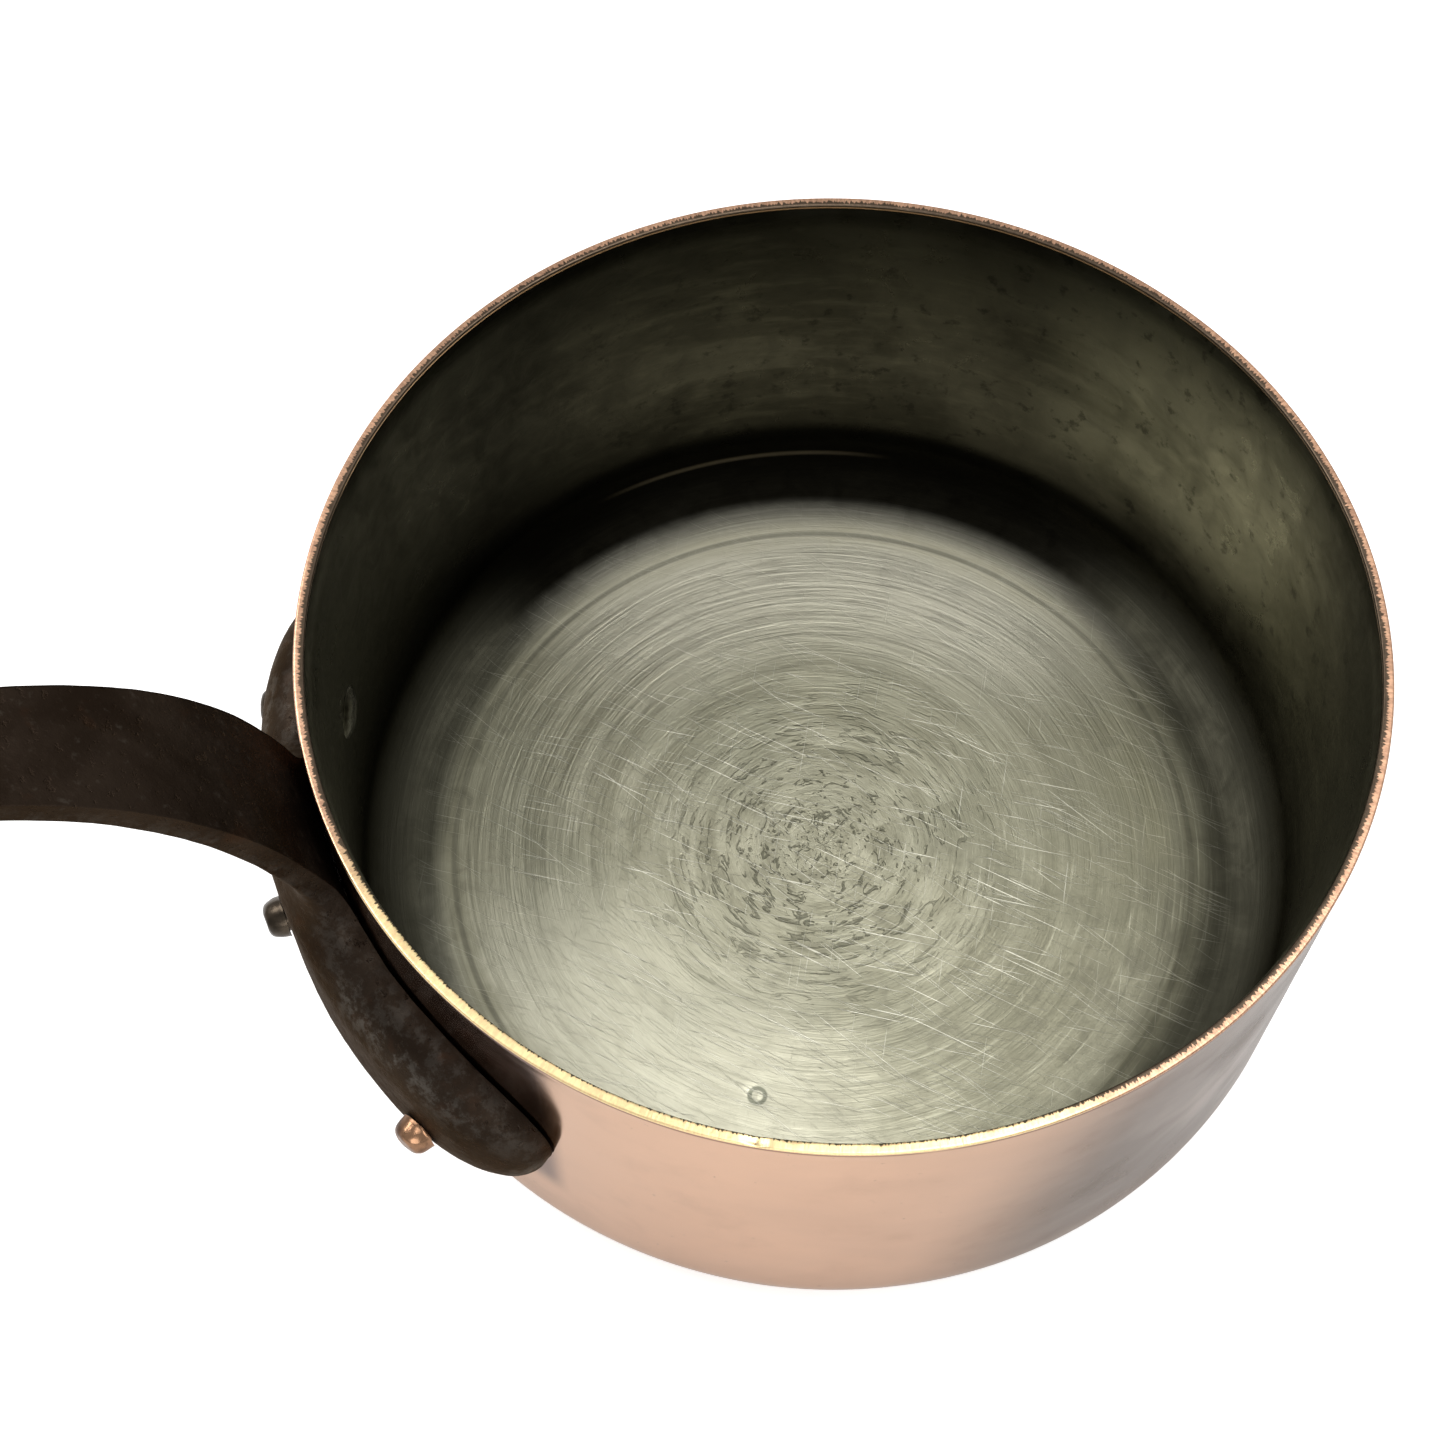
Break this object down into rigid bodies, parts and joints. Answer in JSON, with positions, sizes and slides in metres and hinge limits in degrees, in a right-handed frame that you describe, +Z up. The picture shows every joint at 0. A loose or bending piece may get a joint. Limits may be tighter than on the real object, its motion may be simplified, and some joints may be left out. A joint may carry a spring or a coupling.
{
  "type": "saucepan",
  "caption": "Straight-sided copper saucepan, tinned inside, with a long cast-iron handle riveted through a wide curved flange.",
  "frame": {"origin": "centre of the flat base, on the surface that the pan stands on", "axes": "+Z up along the pan's axis, +X out along the handle"},
  "size_m": [0.3357, 0.16, 0.1554],
  "materials": {
    "copper": "polished copper, cloudy and lightly aged",
    "tin": "wiped tin, scratched and darkened by use",
    "cast_iron": "dark brown-black, pitted, worn bright on edges",
    "rivet_copper": "hammered copper, tinned inside the pan"
  },
  "bodies": {
    "root": {"copper_body": "copper", "tin_lining": "tin", "iron_handle": "cast_iron", "rivet_front": "rivet_copper", "rivet_middle": "rivet_copper", "rivet_rear": "rivet_copper"}
  },
  "joints": []
}
